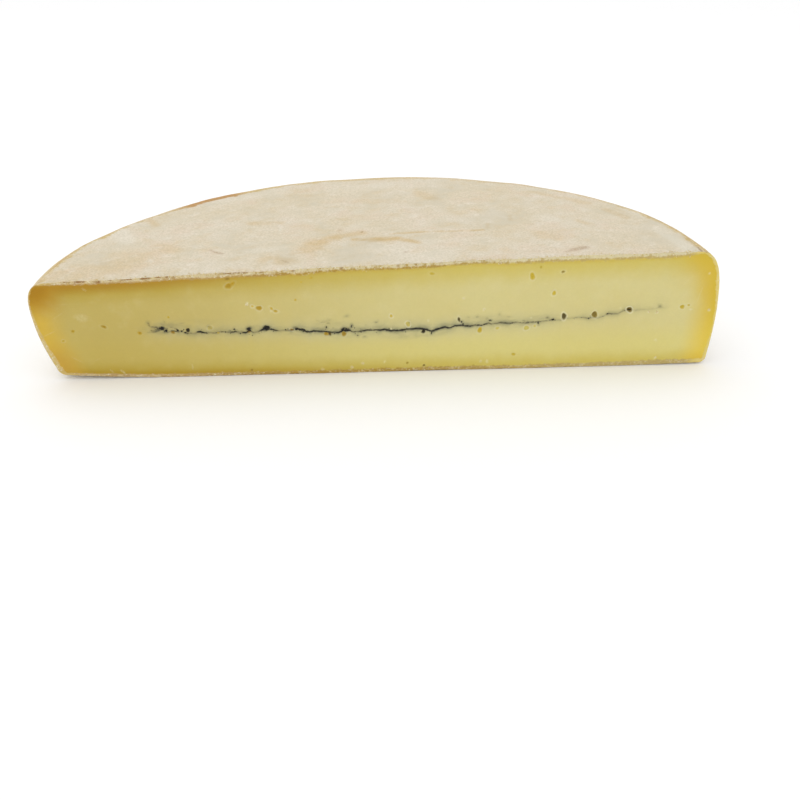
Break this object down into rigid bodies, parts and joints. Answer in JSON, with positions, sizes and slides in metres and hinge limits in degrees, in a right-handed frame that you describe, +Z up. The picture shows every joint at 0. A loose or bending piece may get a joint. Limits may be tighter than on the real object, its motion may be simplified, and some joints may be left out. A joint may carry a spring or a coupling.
{
  "type": "morbier cheese, half wheel",
  "caption": "Half of a round pressed cheese, resting flat, with a straight cut face that shows pale paste, a thin rind and a dark wavy layer of ash through the middle.",
  "frame": {"origin": "under the middle of the piece's outer box, on the surface that it rests on", "axes": "+X along the cut face, from its thinner end to its thicker end; +Y from the cut face towards the round side; +Z up"},
  "size_m": [0.3688, 0.1774, 0.067],
  "materials": {
    "rind": "dry washed rind, pale beige, matt",
    "paste": "pale yellow paste, slightly moist, satin",
    "ash": "blue-black ash, matt"
  },
  "bodies": {
    "root": {"cheese": "rind", "ash_layer": "ash"}
  },
  "joints": []
}
